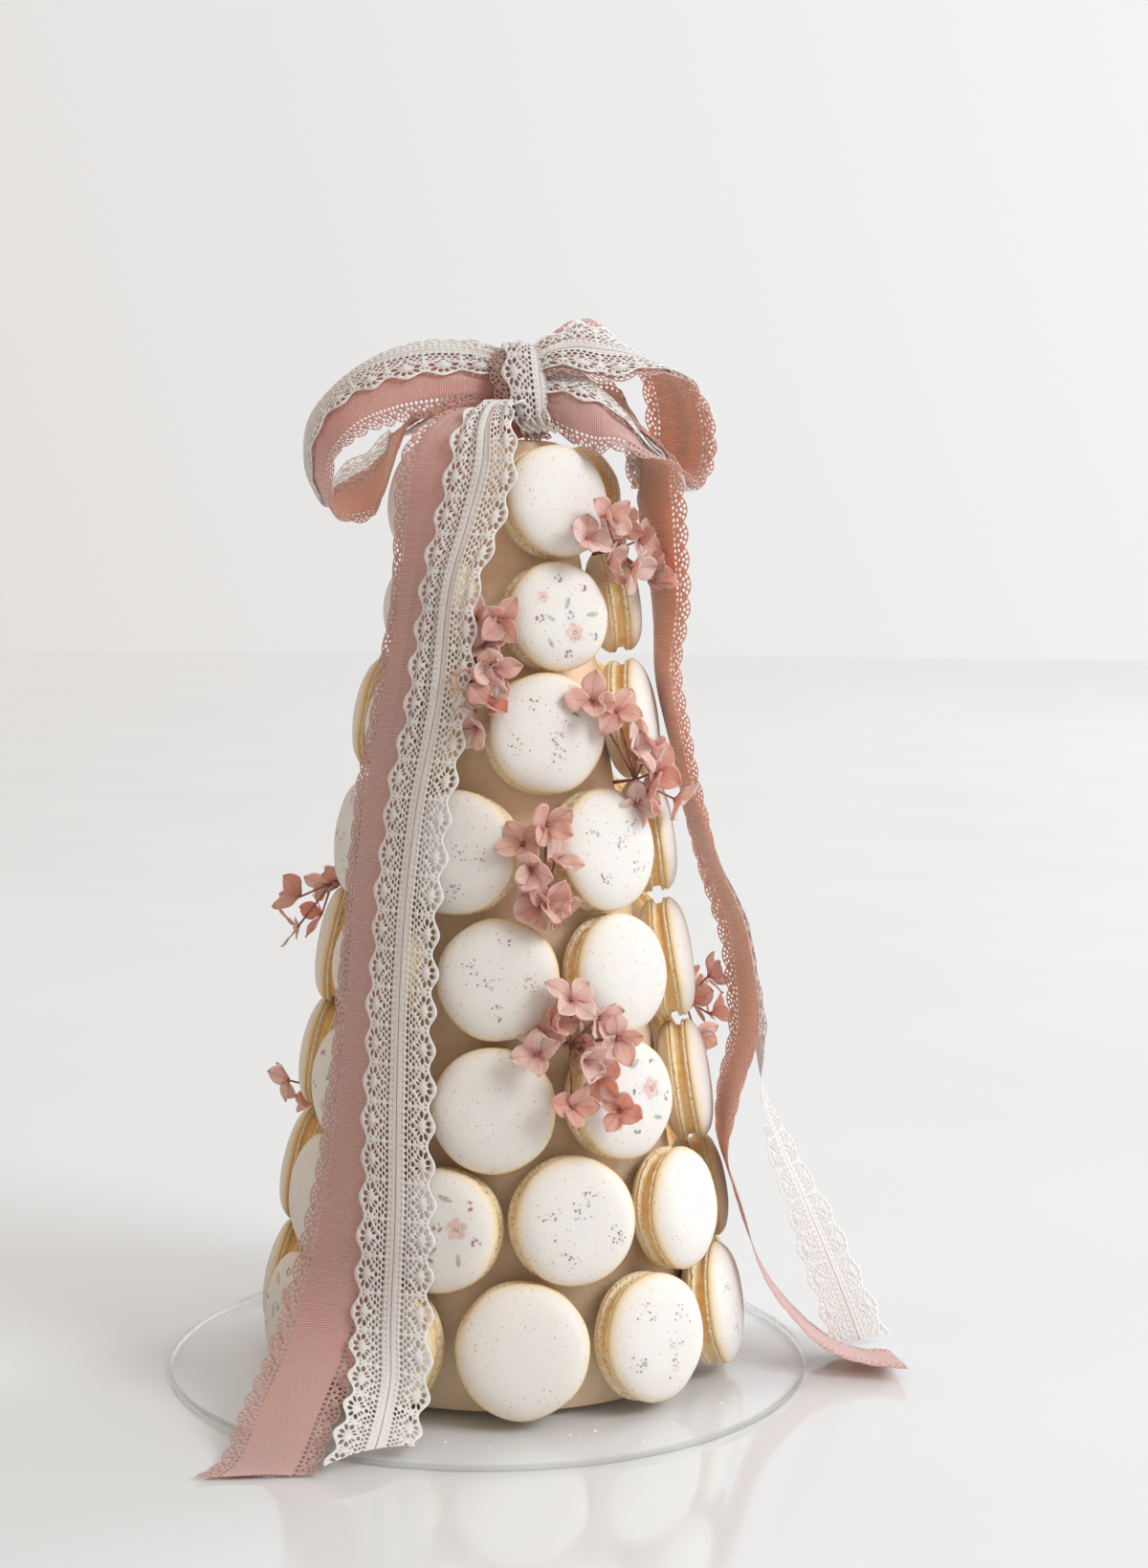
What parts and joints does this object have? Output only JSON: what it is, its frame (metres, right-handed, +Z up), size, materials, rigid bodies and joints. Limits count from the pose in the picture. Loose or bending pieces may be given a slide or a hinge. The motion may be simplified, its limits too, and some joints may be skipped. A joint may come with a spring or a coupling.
{
  "type": "macaron tower",
  "caption": "Tall cone of cream macarons standing on edge, dressed with dried hydrangea florets and a rose and lace ribbon bow, on a clear round plate.",
  "frame": {"origin": "centre of the clear plate's underside", "axes": "+Z up the tower, -Y towards the front where the long ribbon tails hang, +X to the right seen from the front"},
  "size_m": [0.2882, 0.2637, 0.4072],
  "materials": {
    "clear_acrylic": "clear polished",
    "foam": "matt white",
    "baked_shell": "smooth baked shell",
    "dried_petal": "dry and veined",
    "rose_ribbon": "ribbed weave",
    "lace_ribbon": "open knitted lace"
  },
  "bodies": {
    "root": {"foam_cone": "foam", "hydrangea_centre": "dried_petal", "hydrangea_left_back": "dried_petal", "hydrangea_lower_left": "dried_petal", "hydrangea_middle": "dried_petal", "hydrangea_right": "dried_petal", "hydrangea_right_back": "dried_petal", "hydrangea_upper_left": "dried_petal", "hydrangea_upper_right": "dried_petal", "lace_ribbon": "lace_ribbon", "macaron_1_a": "baked_shell", "macaron_1_b": "baked_shell", "macaron_1_c": "baked_shell", "macaron_1_d": "baked_shell", "macaron_1_e": "baked_shell", "macaron_1_f": "baked_shell", "macaron_2_a": "baked_shell", "macaron_2_b": "baked_shell", "macaron_2_c": "baked_shell", "macaron_2_d": "baked_shell", "macaron_2_e": "baked_shell", "macaron_2_f": "baked_shell", "macaron_2_g": "baked_shell", "macaron_3_a": "baked_shell", "macaron_3_b": "baked_shell", "macaron_3_c": "baked_shell", "macaron_3_d": "baked_shell", "macaron_3_e": "baked_shell", "macaron_3_f": "baked_shell", "macaron_4_a": "baked_shell", "macaron_4_b": "baked_shell", "macaron_4_c": "baked_shell", "macaron_4_d": "baked_shell", "macaron_4_e": "baked_shell", "macaron_4_f": "baked_shell", "macaron_5_a": "baked_shell", "macaron_5_b": "baked_shell", "macaron_5_c": "baked_shell", "macaron_5_d": "baked_shell", "macaron_5_e": "baked_shell", "macaron_6_a": "baked_shell", "macaron_6_b": "baked_shell", "macaron_6_c": "baked_shell", "macaron_6_d": "baked_shell", "macaron_7_a": "baked_shell", "macaron_7_b": "baked_shell", "macaron_7_c": "baked_shell", "macaron_8_a": "baked_shell", "macaron_8_b": "baked_shell", "macaron_pair_1_1": "baked_shell", "macaron_pair_1_2": "baked_shell", "macaron_pair_2_1": "baked_shell", "macaron_pair_3_1": "baked_shell", "macaron_pair_4_1": "baked_shell", "macaron_pair_5_1": "baked_shell", "macaron_pair_6_1": "baked_shell", "macaron_pair_7_1": "baked_shell", "macaron_pair_8_1": "baked_shell", "rose_ribbon": "rose_ribbon", "stand_plate": "clear_acrylic"}
  },
  "joints": []
}
